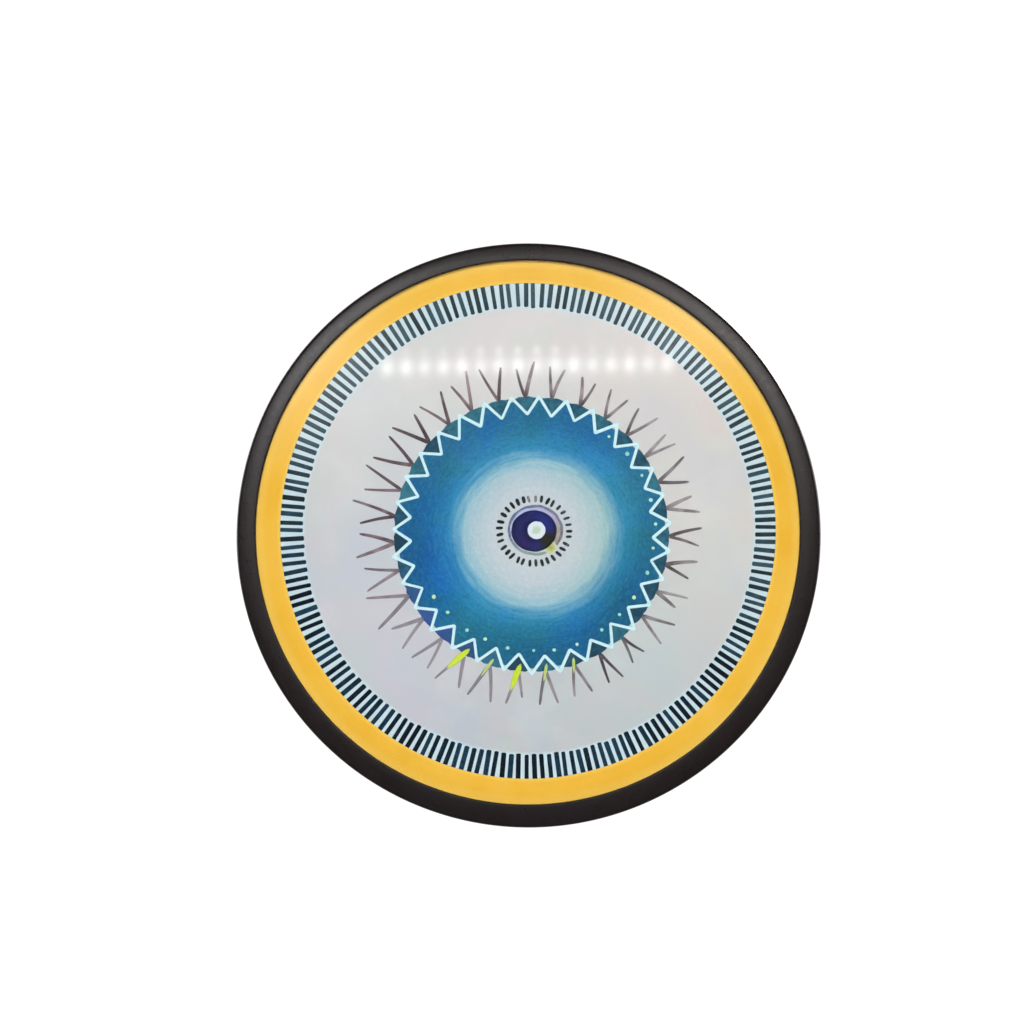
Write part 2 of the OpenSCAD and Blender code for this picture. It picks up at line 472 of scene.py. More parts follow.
def make_frame_ring(material):
    """The turned ring: rounded outside, rounded sight edge, rebate cut from the back."""
    depth = (BACK_Y - FRONT_Y) / MM
    lip = (PANE_FRONT_Y - FRONT_Y) / MM
    section = [(OWN, OUTER_R - 0.4, depth), (OWN, OUTER_R - 0.12, depth - 0.12)]
    section += [(OWN, OUTER_R, depth - 0.4)]
    outside = arc(FRONT_ROUND, 0, -81, 12, (OUTER_R - FRONT_ROUND, FRONT_ROUND + FACE_FALL))
    section += [(OWN, r, d) for r, d in outside]
    inside = arc(SIGHT_ROUND, -90, -180, 8, (SIGHT_R + SIGHT_ROUND, SIGHT_ROUND))
    section += [(SIGHT_OFFSET, r, d) for r, d in inside]
    section += [(SIGHT_OFFSET, SIGHT_R, lip - 0.15), (SIGHT_OFFSET, SIGHT_R + 0.15, lip)]
    section += [(OWN, REBATE_R, lip), (OWN, REBATE_R, depth - 0.3), (OWN, REBATE_R + 0.3, depth)]
    bm = bmesh.new()
    loft(bm, round_rows([(m, r, FRONT_Y + d * MM) for m, r, d in section], RING_TURNS), closed=True)
    finish_piece("ring_moulding", bm, material, "frame_ring", split=35)


def disc_plate(name, ease, material, node):
    """A flat disc with eased edges, as thick as its CAD node."""
    low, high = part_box(node)
    section = [(OWN, STACK_R - ease, low.y), (OWN, STACK_R, low.y + ease * MM)]
    section += [(OWN, STACK_R, high.y - ease * MM), (OWN, STACK_R - ease, high.y)]
    bm = bmesh.new()
    loft(bm, round_rows(section, DISC_TURNS))
    finish_piece(name, bm, material, node, split=25)


def make_mat(material):
    """The window mat: round outside, its window cut straight and a little high."""
    low, high = (corner.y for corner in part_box("mat_ring"))
    low += MAT_GAP
    section = [(OWN, STACK_R, low), (OWN, STACK_R, high), (WINDOW_OFFSET, WINDOW_R, high)]
    section.append((WINDOW_OFFSET, WINDOW_R, low + MAT_EASE * MM))
    section.append((WINDOW_OFFSET, WINDOW_R + MAT_EASE, low))
    bm = bmesh.new()
    loft(bm, round_rows(section, RING_TURNS), closed=True)
    finish_piece("window_mat", bm, material, "mat_ring", split=35)


# ---- material building blocks
class Nodes:
    """A node tree with short ways to add and join nodes."""

    def __init__(self, owner):
        owner.use_nodes = True
        self.tree = owner.node_tree
        self.nodes = self.tree.nodes

    def feed(self, socket, value):
        """Joins or sets an input."""
        if isinstance(value, bpy.types.NodeSocket):
            self.tree.links.new(value, socket)
        else:
            socket.default_value = value

    def add(self, kind, inputs=(), output=0, **settings):
        """A new node with its inputs fed; returns one of its outputs."""
        node = self.nodes.new("ShaderNode" + kind)
        for name, value in settings.items():
            setattr(node, name, value)
        for socket, value in dict(inputs).items():
            self.feed(node.inputs[socket], value)
        return node.outputs[output]

    def spread(self, value, low, high, to_low=0.0, to_high=1.0):
        """Maps low..high to to_low..to_high, held at the ends."""
        reach = {"From Min": low, "From Max": high, "To Min": to_low, "To Max": to_high}
        return self.add("MapRange", {"Value": value, **reach})


class Shade(Nodes):
    """A node material with short ways to add what the paints and finishes share."""

    def __init__(self, name, roughness=0.5, **sockets):
        self.material = bpy.data.materials.new(name)
        super().__init__(self.material)
        self.shader = self.nodes["Principled BSDF"]
        for socket, value in {"Roughness": roughness, **sockets}.items():
            self.shader.inputs[socket.replace("_", " ")].default_value = value
        self.place = self.add("TexCoord", output="Object")

    def surface(self, value):
        self.feed(self.nodes["Material Output"].inputs["Surface"], value)

    def colour(self, value):
        self.feed(self.shader.inputs["Base Color"], value)

    def roughness(self, value):
        self.feed(self.shader.inputs["Roughness"], value)

    def math(self, operation, a, b=0.0, c=0.0):
        return self.add("Math", {0: a, 1: b, 2: c}, operation=operation)

    def plus(self, a, b):
        return self.math("ADD", a, b)

    def times(self, a, b):
        return self.math("MULTIPLY", a, b)

    def polar(self, middle):
        """Radius in millimetres and the cosine and sine of the angle round a middle."""
        centre = (CENTRE_X + middle[0] * MM, 0, CENTRE_Z + middle[1] * MM)
        shifted = self.add("VectorMath", {0: self.place, 1: centre}, operation="SUBTRACT")
        axes = self.add("SeparateXYZ", {0: shifted}).node.outputs
        x, z = axes["X"], axes["Z"]
        radius = self.math("SQRT", self.plus(self.times(x, x), self.times(z, z)))
        safe = self.math("MAXIMUM", radius, 1e-5)
        shares = ((radius, MM), (x, safe), (z, safe))
        return [self.math("DIVIDE", a, b) for a, b in shares]

    def noise(self, scale, detail=3.0, rough=0.6, distortion=0.0, vector=None):
        """Noise over the object's own place, or over another vector."""
        inputs = {"Scale": scale, "Detail": detail, "Roughness": rough, "Distortion": distortion}
        return self.add("TexNoise", {"Vector": self.place if vector is None else vector, **inputs})

    def streaks(self, middle, rate_r, rate_a, detail, rough):
        """Noise that streaks round a middle: rate_r is per millimetre of radius."""
        radius, cosine, sine = self.polar(middle)
        parts = (self.times(cosine, rate_a), self.times(sine, rate_a), self.times(radius, rate_r))
        return self.noise(1.0, detail, rough, vector=self.add("CombineXYZ", enumerate(parts)))

    def sway(self, noise, size):
        """Noise as a number from -size to size."""
        return self.spread(noise, 0.3, 0.7, -size, size)

    def ramp(self, value, *stops):
        """Colours at places from 0 to 1; a stop is a place, then red, green and blue of 255."""
        colour = self.add("ValToRGB", {"Fac": value})
        elements = colour.node.color_ramp.elements
        while len(elements) < len(stops):
            elements.new(0.5)
        for element, (place, *rgb) in zip(elements, stops):
            element.position = place
            element.color = srgb(*rgb)
        return colour

    def wheel(self, cosine, sine, *stops):
        """Colours at compass points in degrees, counted from the right, closed into a ring."""
        turn = self.math("DIVIDE", self.math("ARCTAN2", sine, cosine), 2 * math.pi)
        ring = [(degrees / 360, *rgb) for degrees, *rgb in stops] + [(1.0, *stops[0][1:])]
        return self.ramp(self.math("FRACT", self.plus(turn, 1.0)), *ring)

    def mix(self, factor, under, over):
        """One colour over another by factor; each is a socket, or red, green and blue of 255."""
        a, b = (srgb(*c) if isinstance(c, tuple) else c for c in (under, over))
        return self.add("Mix", {"Factor": factor, 6: a, 7: b}, 2, data_type="RGBA")

    def lay(self, under, over, value, low, high, most=1.0):
        """Mixes in none of over where value is at low, and the most of it where it is at high."""
        return self.mix(self.spread(value, low, high, 0.0, most), under, over)

    def tone(self):
        """The number that each stroke carries."""
        return self.add("Attribute", output="Fac", attribute_name="tone")

    def pooled(self, pool, swing):
        """A stroke's own tone, lighter or darker along it as paint pools."""
        return self.plus(self.tone(), self.sway(pool, swing))

    def finish(self, height, distance_mm=0.03, strength=0.4):
        """Adds fine relief and returns the finished material."""
        inputs = {"Height": height, "Distance": distance_mm * MM, "Strength": strength}
        self.feed(self.shader.inputs["Normal"], self.add("Bump", inputs))
        return self.material


# ---- materials of the front
def lacquer_material():
    """Dark stained wood under satin lacquer, with faint turning marks and grain."""
    s = Shade("dark_lacquer", 0.3, Coat_Weight=0.6, Coat_Roughness=0.24)
    turning = s.streaks((0, 0), 2.2, 9.0, 4.0, 0.6)
    grain = s.noise(340.0, 4.0)
    cloudy = s.noise(26.0, 2.0, 0.5)
    base = s.ramp(turning, (0.25, 21, 14, 14), (0.55, 27, 20, 20), (0.8, 37, 29, 28))
    s.colour(s.lay(base, (34, 28, 32), cloudy, 0.35, 0.7, 0.35))
    s.roughness(s.spread(grain, 0.3, 0.75, 0.26, 0.38))
    return s.finish(s.plus(turning, s.times(grain, 0.6)), 0.05, 0.35)


GLASS_TINT = (0.985, 0.995, 0.99, 1.0)
GLASS_SHADOW = (0.97, 0.98, 0.975, 1.0)


def glass_material():
    """Clear float glass; rays to the lamps pass straight through so the card is lit."""
    s = Shade("clear_glass", 0.012, IOR=1.5, Transmission_Weight=1.0, Base_Color=GLASS_TINT)
    clear = s.add("BsdfTransparent", {"Color": GLASS_SHADOW})
    shadow_ray = s.add("LightPath", output="Is Shadow Ray")
    s.surface(s.add("MixShader", {0: shadow_ray, 1: s.shader.outputs["BSDF"], 2: clear}))
    return s.material


def mat_material():
    """Yellow paper on mat board: faint fibres and cloudy dye, and painted light that makes both visible
    edges paler.
    """
    s = Shade("yellow_mat", 0.72)
    from_window = s.polar(WINDOW_OFFSET)[0]
    from_sight = s.polar(SIGHT_OFFSET)[0]
    fibre = s.noise(900.0, 5.0, 0.65)
    cloud = s.noise(45.0, 3.0, 0.5)
    base = s.ramp(cloud, (0.3, 239, 183, 56), (0.5, 242, 189, 64), (0.72, 244, 194, 80))
    # painted highlight: the mat is painted paler along its window edge and along the frame's sight edge,
    # to lift the shade that falls there
    painted_edge_light = s.math("MAXIMUM", s.spread(from_window, 129.3, 128.0), s.spread(from_sight, 134.5, 139.0))
    base = s.mix(s.times(painted_edge_light, 0.75), base, (248, 206, 96))
    s.colour(s.lay(base, (230, 168, 46), fibre, 0.35, 0.7, 0.22))
    return s.finish(fibre, 0.06, 0.5)


def card_material():
    """Smooth card with a pearly ground and white under the bars; painted light and shade make it lighter
    above, warm at the right, darker and bluer below.
    """
    s = Shade("painted_card", 0.6)
    radius, cosine, sine = s.polar(TICK_MIDDLE)
    blotch = s.noise(34.0, 3.0, 0.55)
    tint = s.noise(19.0, 2.0, 0.5, 0.6)
    fine = s.noise(520.0, 4.0)
    # painted light and shade: the ground is lighter and warmer above and at the right, darker and bluer
    # at the lower left and below, as if lit from above
    ground = s.wheel(
        cosine, sine,
        (0, 211, 207, 203), (45, 216, 206, 202), (90, 218, 214, 214), (140, 213, 211, 210),
        (180, 196, 198, 206), (220, 192, 193, 208), (250, 183, 187, 199), (280, 181, 187, 192),
        (320, 188, 197, 199), (345, 202, 202, 200),
    )
    pearl = s.ramp(
        tint,
        (0.34, 198, 204, 224), (0.46, 208, 214, 212), (0.56, 224, 208, 212), (0.68, 206, 216, 200),
    )
    ground = s.mix(0.28, ground, pearl)
    # towards the middle the painted light and shade are evened out to a plain grey
    ground = s.lay(ground, (212, 212, 211), radius, 105.0, 60.0, 0.4)
    ground = s.lay(ground, (224, 224, 223), blotch, 0.5, 0.72, 0.3)
    squash = s.math("MULTIPLY_ADD", s.times(cosine, cosine), -2 * TICK_OVAL, TICK_OVAL)
    ragged = s.plus(s.plus(radius, squash), s.sway(fine, 0.5))
    ground = s.lay(ground, (203, 222, 231), ragged, 114.1, 115.9)
    s.colour(s.lay(ground, (182, 184, 190), fine, 0.4, 0.75, 0.12))
    return s.finish(fine)


def iris_material():
    """Blue laid round the pupil in many turns of pencil and wash, paling to the middle."""
    s = Shade("iris_paint", 0.52)
    radius, cosine, sine = s.polar(IRIS_MIDDLE)
    off_radius = s.polar(PALE_MIDDLE)[0]
    sweep = s.streaks(PALE_MIDDLE, 0.5, 3.0, 3.0, 0.5)
    turns = s.streaks(PALE_MIDDLE, 0.45, 1.2, 2.0, 0.5)
    pencil = s.streaks(PALE_MIDDLE, 1.6, 14.0, 4.0, 0.7)
    hatch = s.noise(560.0, 4.0, 0.7)
    patch = s.noise(60.0, 4.0, 0.65)
    loose = s.math("SUBTRACT", s.plus(sweep, s.times(turns, 1.4)), 1.2)
    ragged = s.plus(off_radius, s.times(loose, 6.0))
    pale = s.ramp(
        s.math("DIVIDE", ragged, 72.0),
        (0.20, 203, 208, 213), (0.34, 192, 202, 211), (0.44, 170, 195, 207), (0.50, 152, 193, 208),
        (0.55, 120, 180, 202), (0.61, 76, 156, 196),
    )
    green = s.times(s.spread(cosine, 0.2, 0.95), s.spread(off_radius, 20.0, 36.0))
    pale = s.mix(s.times(green, 0.4), pale, (178, 202, 182))
    deep = s.wheel(
        cosine, sine,
        (0, 34, 122, 152), (25, 50, 134, 166), (45, 40, 128, 180), (62, 30, 114, 172),
        (95, 38, 118, 160), (130, 44, 120, 160), (165, 12, 104, 162), (195, 0, 86, 156),
        (212, 0, 106, 174), (232, 26, 124, 160), (250, 18, 112, 144), (272, 6, 100, 140),
        (295, 0, 100, 160), (325, 6, 92, 134),
    )
    deep = s.lay(deep, (8, 106, 186), patch, 0.52, 0.66, 0.6)
    deep = s.lay(deep, (24, 112, 124), patch, 0.48, 0.32, 0.6)
    deep = s.lay(deep, (58, 160, 208), ragged, 54.0, 43.0, 0.5)
    deep = s.lay(deep, (8, 72, 104), radius, 53.0, 61.0, 0.35)
    base = s.lay(pale, deep, ragged, 36.0, 46.5)
    inner = s.spread(ragged, 32.0, 44.0)
    shade = s.mix(inner, (168, 188, 196), (4, 66, 112))
    shine = s.mix(inner, (218, 224, 224), (44, 152, 200))
    base = s.lay(base, shade, pencil, 0.52, 0.72, 0.45)
    base = s.lay(base, shine, pencil, 0.47, 0.3, 0.45)
    light = s.mix(inner, (214, 220, 222), (56, 148, 190))
    dark = s.mix(inner, (182, 196, 202), (6, 72, 116))
    base = s.lay(base, light, hatch, 0.52, 0.7, 0.42)
    s.colour(s.lay(base, dark, hatch, 0.48, 0.3, 0.42))
    s.roughness(s.spread(hatch, 0.3, 0.7, 0.45, 0.62))
    return s.finish(s.plus(pencil, s.times(hatch, 0.5)), 0.05, 0.5)


def ink_material(name, dark, mid, light):
    """Ink whose strength changes from stroke to stroke and a little along each one."""
    s = Shade(name, 0.45)
    pool = s.noise(800.0)
    strength = s.pooled(pool, 0.25)
    s.colour(s.ramp(strength, (0.1, *dark), (0.5, *mid), (0.95, *light)))
    return s.finish(pool)


def bar_material():
    """Ink of the tick bars: blue-black below and at the left, with painted light making it greyer above
    and at the right.
    """
    s = Shade("tick_ink", 0.5, Specular_IOR_Level=0.2)
    cosine, sine = s.polar(TICK_MIDDLE)[1:]
    pool = s.noise(800.0)
    strength = s.pooled(pool, 0.25)
    black = s.ramp(strength, (0.1, 0, 14, 30), (0.5, 4, 30, 46), (0.95, 24, 58, 80))
    # painted light: a greyer, lit copy of the ink, laid over the bars above and at the right where the
    # light and glare fall
    painted_light_ink = s.ramp(strength, (0.1, 48, 66, 70), (0.5, 58, 80, 86), (0.95, 76, 100, 106))
    side = s.plus(sine, s.times(cosine, 0.25))
    s.colour(s.lay(black, painted_light_ink, side, -0.4, 0.2, 0.5))
    return s.finish(pool)


def triangle_material():
    """Dark teal wedges, bluer at the lower left."""
    s = Shade("triangle_ink", 0.48)
    cosine, sine = s.polar(IRIS_MIDDLE)[1:]
    pool = s.noise(420.0, 4.0)
    strength = s.pooled(pool, 0.4)
    teal = s.ramp(strength, (0.0, 14, 58, 80), (0.5, 28, 82, 106), (1.0, 48, 116, 136))
    corner = s.times(s.spread(cosine, -0.2, -0.75), s.spread(sine, -0.2, -0.6))
    s.colour(s.mix(s.times(corner, 0.7), teal, (56, 92, 168)))
    return s.finish(pool)


def lash_material():
    """Mauve-brown pencil at the top and left, greyer at the right, faint at the lower left."""
    s = Shade("lash_pencil", 0.55)
    radius, cosine, sine = s.polar(IRIS_MIDDLE)
    grain = s.noise(1300.0)
    pressure = s.noise(130.0, 2.0, 0.5)
    heavy = s.plus(s.tone(), s.spread(pressure, 0.35, 0.65, -0.3, 0.3))
    brown = s.ramp(heavy, (0.0, 66, 48, 58), (0.5, 98, 78, 84), (1.0, 152, 130, 134))
    grey = s.ramp(heavy, (0.0, 72, 64, 68), (0.5, 112, 104, 106), (1.0, 164, 156, 158))
    base = s.lay(brown, grey, cosine, -0.3, 0.7)
    base = s.lay(base, (58, 50, 62), radius, 77.0, 70.0, 0.6)
    faint = s.times(s.spread(sine, 0.0, -0.75), s.spread(cosine, 0.45, -0.5))
    base = s.mix(s.times(faint, 0.75), base, (152, 150, 160))
    s.colour(s.lay(base, (176, 170, 174), grain, 0.5, 0.8, 0.35))
    return s.finish(grain)


def outline_material():
    """Blue-grey pencil round the halo, brown low at the right and faint below."""
    s = Shade("outline_pencil", 0.5)
    cosine, sine = s.polar(HALO_MIDDLE)[1:]
    grain = s.noise(900.0)
    base = s.lay((88, 100, 132), (112, 112, 134), cosine, -0.2, 0.7)
    brown = s.times(s.spread(cosine, 0.45, 0.8), s.spread(sine, 0.3, -0.3))
    base = s.mix(brown, base, (106, 88, 78))
    base = s.lay(base, (138, 156, 154), sine, -0.35, -0.75, 0.85)
    s.colour(s.lay(base, (178, 186, 204), grain, 0.4, 0.75, 0.5))
    return s.finish(grain)


def halo_material():
    """The wash round the pupil: lavender above, tan at the right, yellow and green below."""
    s = Shade("halo_wash", 0.5)
    cosine, sine = s.polar(HALO_MIDDLE)[1:]
    fine = s.noise(700.0)
    upper = s.lay((178, 188, 232), (176, 168, 204), cosine, -0.6, 0.9)
    base = s.lay(upper, (198, 204, 214), sine, 0.25, -0.35)
    tan = s.times(s.spread(cosine, 0.55, 0.9), s.spread(sine, 0.6, 0.1))
    base = s.mix(tan, base, (160, 150, 142))
    base = s.lay(base, (184, 206, 182), sine, -0.75, -0.95, 0.8)
    s.colour(s.lay(base, (214, 218, 226), fine, 0.4, 0.75, 0.3))
    return s.finish(fine, 0.03, 0.3)


def patch_material():
    """An olive-yellow smudge that pales to the card round it."""
    s = Shade("patch_wash", 0.5)
    radius = s.polar(PATCH_MIDDLE)[0]
    fine = s.noise(600.0)
    share = s.plus(s.math("DIVIDE", radius, PATCH_R[0]), s.sway(fine, 0.15))
    s.colour(s.ramp(share, (0.15, 170, 172, 92), (0.6, 196, 198, 132), (0.95, 208, 214, 196)))
    return s.finish(fine, 0.03, 0.3)


def navy_material():
    """The pupil: navy with a darker rim, purple low at the left, olive low at the right."""
    s = Shade("pupil_navy", 0.4)
    radius, cosine, sine = s.polar(PUPIL_MIDDLE)
    brush = s.streaks(PUPIL_MIDDLE, 1.3, 2.2, 3.0, 0.6)
    blue = s.lay((26, 30, 92), (26, 38, 120), cosine, -0.5, 0.8)
    purple = s.times(s.spread(cosine, 0.3, -0.4), s.spread(sine, -0.3, -0.8))
    base = s.mix(s.times(purple, 0.7), blue, (46, 22, 92))
    olive = s.times(s.spread(cosine, 0.1, 0.7), s.spread(sine, 0.25, -0.35))
    base = s.mix(olive, base, (30, 26, 10))
    rim = s.spread(radius, 8.6, 11.2)
    near = s.spread(radius, 6.4, 5.0)
    edge = s.math("MAXIMUM", rim, s.times(near, 0.8))
    dark = s.mix(olive, (0, 2, 52), (14, 14, 4))
    base = s.mix(s.times(edge, 0.85), base, dark)
    light = s.mix(olive, (58, 58, 120), (84, 80, 72))
    s.colour(s.lay(base, light, brush, 0.48, 0.72, 0.3))
    return s.finish(brush, 0.05, 0.4)


def glint_material():
    """The white dot, a little green in its middle."""
    s = Shade("glint_white", 0.4)
    radius = s.polar(GLINT_MIDDLE)[0]
    fine = s.noise(500.0)
    share = s.math("DIVIDE", s.plus(radius, s.sway(fine, 0.6)), GLINT_R)
    s.colour(s.ramp(
        share,
        (0.0, 192, 212, 190), (0.36, 198, 216, 198), (0.58, 228, 236, 242), (1.0, 222, 232, 246),
    ))
    return s.finish(fine, 0.03, 0.3)


# ---- materials of the back
def hardboard_material():
    """Raw hardboard: brown, mottled with pressed fibres."""
    s = Shade("hardboard", 0.78)
    fibre = s.noise(420.0, 6.0, 0.7, 0.8)
    mottle = s.noise(40.0, 4.0)
    base = s.ramp(mottle, (0.3, 131, 95, 65), (0.52, 140, 102, 70), (0.75, 148, 110, 77))
    s.colour(s.lay(base, (92, 64, 42), fibre, 0.5, 0.75, 0.5))
    return s.finish(fibre, 0.12, 0.6)


def metal_material(name, colour, bright, roughness):
    """Plated steel with fine draw marks and dull patches."""
    s = Shade(name, roughness, Metallic=1.0)
    marks = s.noise(1500.0)
    patch = s.noise(160.0)
    s.colour(s.lay(colour, bright, patch, 0.35, 0.7))
    s.roughness(s.spread(patch, 0.3, 0.75, roughness, roughness + 0.2))
    return s.finish(marks)


def rubber_material():
    s = Shade("bumper_rubber", 0.62)
    fine = s.noise(1100.0)
    s.colour(s.lay((26, 26, 28), (46, 46, 48), fine, 0.35, 0.7))
    return s.finish(fine, 0.05, 0.5)


def filler_material():
    s = Shade("filler_card", 0.85)
    fine = s.noise(500.0, 4.0)
    s.colour(s.lay((186, 152, 108), (164, 130, 88), fine, 0.35, 0.7))
    return s.finish(fine, 0.08, 0.5)


def dress(node, material):
    """Gives a CAD piece its finish."""
    for slot in frame["nodes"][node].material_slots:
        slot.material = material


# ---- hanging and fixing parts
PLATE_EASE = 0.22
BUTTON_R = 3.0
BUTTON_REACH = 15.0
SHANK_HOLE_R = 1.3
RIB_START = 5.0
RIB_END = 13.6
RIB_HALF_W = 1.25
RIB_RISE = 0.42
EYE_R = 9.5
EYE_HOLE_R = 6.0
EYE_HALF_T = 0.8
LEG_X = (5.25, 7.5)
WINDOW_RISE = 2.45
BAR_R = 1.0
KNUCKLE_R = (1.05, 1.85)
ROLL_END = -118
STRAP_T = 0.8
STRAP_HALF_W = 5.0
RIVET_R = 2.6
RIVET_SHANK_R = 1.6
RIVET_TAIL_R = 3.0


def stadium(start, end, radius):
    """Outline of a bar with round ends, along the first axis."""
    return arc(radius, -90, 90, 16, (end, 0.0)) + arc(radius, 90, 270, 16, (start, 0.0))


def drawn_in(points, gap):
    """The outline moved by the gap to its left, which is inward when it runs anticlockwise."""
    moved = []
    for s, point in enumerate(points):
        here = Vector(point)
        a = (here - Vector(points[s - 1])).normalized()
        b = (Vector(points[(s + 1) % len(points)]) - here).normalized()
        shift = Vector((-a.y - b.y, a.x + b.x)) * (gap / max(0.5, 1 + a.dot(b)))
        moved.append(tuple(here + shift))
    return moved


def eased_plate(bm, outlines, low, high, ease, spot):
    """A flat plate with eased edges; the outlines of its holes run clockwise."""
    faces = {low: [], high: []}
    for outline in outlines:
        narrow = drawn_in(outline, ease)
        levels = ((narrow, low), (outline, low + ease), (outline, high - ease), (narrow, high))
        rows = [[bm.verts.new(spot(u, v, level)) for u, v in points] for points, level in levels]
        skin(bm, rows)
        for level, row in ((low, rows[0]), (high, rows[-1])):
            faces[level] += [bm.edges.get((row[s - 1], row[s])) for s in range(len(row))]
    for edges in faces.values():
        bmesh.ops.triangle_fill(bm, use_beauty=True, edges=edges)


def upright(x, z, y):
    """A point of a plate that lies flat against the wall, in metres."""
    return (x * MM, y * MM, z * MM)


def make_turn_button(number, pivot_m, material):
    """A stamped plate with a pressed rib, turning about its screw."""
    node, body = f"turn_button_{number}", f"button_{number}"
    low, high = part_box(node)
    pivot = Vector((pivot_m[0], 0, pivot_m[2]))
    inward = (Vector((CENTRE_X, 0, CENTRE_Z)) - pivot).normalized()
    side = Vector((-inward.z, 0, inward.x))

    def spot(u, v, y):
        place = pivot + inward * (u * MM) + side * (v * MM)
        return (place.x, y * MM, place.z)

    bm = bmesh.new()
    outlines = [stadium(0, BUTTON_REACH, BUTTON_R), circle(SHANK_HOLE_R, 24)[::-1]]
    eased_plate(bm, outlines, low.y / MM, high.y / MM, PLATE_EASE, spot)
    loops = []
    for share in (1.0, 0.94, 0.8, 0.6, 0.35, 0.12):
        level = high.y / MM + RIB_RISE * math.sqrt(1 - share ** 2) - 0.03
        outline = stadium(RIB_START, RIB_END, RIB_HALF_W * share)
        loops.append([spot(u, v, level) for u, v in outline])
    loft(bm, loops)
    finish_piece(f"button_plate_{number}", bm, material, node, body=body, split=30)


def rod(bm, radius, half_length, middle_z, ease):
    """A rod along X with eased ends, in millimetres."""
    ends = [(-half_length, radius - ease), (-half_length + ease, radius)]
    ends += [(half_length - ease, radius), (half_length, radius - ease)]
    loft(bm, [[upright(x, z, y) for y, z in circle(r, 32, (0.0, middle_z))] for x, r in ends])


def make_hanger_eye(material):
    """The stamped eye: a round hole for the hook, two legs and the bar it swings on."""
    bar_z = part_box("hanger_eye")[0].z / MM + BAR_R
    window_z = bar_z + WINDOW_RISE
    corner = math.degrees(math.acos(LEG_X[1] / EYE_R))
    outline = [(LEG_X[0], bar_z), (LEG_X[1], bar_z)] + arc(EYE_R, -corner, 180 + corner, 96)
    outline += [(-LEG_X[1], bar_z), (-LEG_X[0], bar_z), (-LEG_X[0], window_z), (LEG_X[0], window_z)]
    bm = bmesh.new()
    eased_plate(bm, [outline, circle(EYE_HOLE_R, 96)[::-1]], -EYE_HALF_T, EYE_HALF_T, PLATE_EASE, upright)
    rod(bm, BAR_R, LEG_X[1], bar_z, 0.2)
    finish_piece("eye_plate", bm, material, "hanger_eye", body="hanger", split=30)


def make_hanger_strap(material):
    """The strap: a flat plate with a round lower end, its top rolled round the bar."""
    low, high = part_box("hanger_strap")
    plate_y = low.y / MM
    knuckle_z = high.z / MM - KNUCKLE_R[1]
    end_z = low.z / MM + STRAP_HALF_W
    outline = arc(STRAP_HALF_W, 180, 360, 32, (0.0, end_z))
    outline += [(STRAP_HALF_W, knuckle_z), (-STRAP_HALF_W, knuckle_z)]
    bm = bmesh.new()
    eased_plate(bm, [outline], plate_y, plate_y + STRAP_T, PLATE_EASE, upright)
    roll = arc(KNUCKLE_R[0], 180, ROLL_END, 40) + arc(KNUCKLE_R[1], ROLL_END, 180, 40)

    def across(y, z, x):
        return (x * MM, y * MM, (knuckle_z + z) * MM)

    eased_plate(bm, [roll], -STRAP_HALF_W, STRAP_HALF_W, 0.12, across)
    finish_piece("strap_plate", bm, material, "hanger_strap", split=30)


def make_rivets(material):
    """Two domed rivets through the strap and the board, clinched inside."""
    low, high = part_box("hanger_rivets")
    face_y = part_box("hanger_strap")[0].y / MM + STRAP_T
    inside_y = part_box("backing_board")[0].y / MM
    head_y, tail_y = high.y / MM, low.y / MM
    quarter = [math.pi / 2 * s / 8 for s in range(8)]
    crown = [(RIVET_R * math.cos(a), face_y + (head_y - face_y) * math.sin(a)) for a in quarter]
    section = [(RIVET_TAIL_R - 0.3, tail_y), (RIVET_TAIL_R, tail_y + 0.3), (RIVET_TAIL_R, inside_y)]
    section += [(RIVET_SHANK_R, inside_y), (RIVET_SHANK_R, face_y)] + crown + [(0.3, head_y)]
    bm = bmesh.new()
    for middle_z in (low.z / MM + RIVET_TAIL_R, high.z / MM - RIVET_TAIL_R):
        loft(bm, [[upright(x, z, y) for x, z in circle(r, 48, (0.0, middle_z))] for r, y in section])
    finish_piece("rivet_heads", bm, material, "hanger_rivets", split=30)


# ---- the object
def build_front():
    make_frame_ring(lacquer_material())
    disc_plate("glass_pane", 0.2, glass_material(), "glazing_pane")
    make_mat(mat_material())
    disc_plate("art_card", 0.05, card_material(), "artwork_card")


def build_painting():
    paint_disc("iris_wash", IRIS_MIDDLE, (IRIS_R, IRIS_R), 0.06, iris_material(), 72, 360, 0.02, 0.012)
    bends = zigzag_bends()
    make_triangles(bends, triangle_material())
    white = ink_material("zigzag_paint", (196, 232, 240), (208, 240, 246), (222, 246, 248))
    make_zigzag(bends, white)
    yellow = ink_material("yellow_pencil", (204, 222, 40), (206, 222, 84), (190, 206, 130))
    make_lashes(lash_material(), yellow)
    make_dots(ink_material("dot_paint", (150, 214, 214), (186, 236, 226), (206, 238, 190)))
    make_tick_ring(bar_material())
    make_pupil_ticks(ink_material("pupil_ink", (10, 18, 24), (40, 52, 58), (140, 132, 138)))
    paint_disc("halo_outline", HALO_MIDDLE, HALO_R, 0.1, outline_material(), 6, 96, 0.01, 0.03)
    inner = (HALO_R[0] - OUTLINE_W, HALO_R[1] - OUTLINE_W)
    paint_disc("halo_wash", HALO_MIDDLE, inner, 0.16, halo_material(), 6, 96, 0.01, 0.03)
    patch = patch_material()
    paint_disc("pupil_patch", PATCH_MIDDLE, PATCH_R, 0.2, patch, 8, 64, 0.02, 0.05)
    paint_disc("pupil_disc", PUPIL_MIDDLE, NAVY_R, 0.26, navy_material(), 14, 96, 0.02, 0.02)
    paint_disc("pupil_glint", GLINT_MIDDLE, (GLINT_R, GLINT_R), 0.4, glint_material(), 8, 64, 0.02, 0.03)


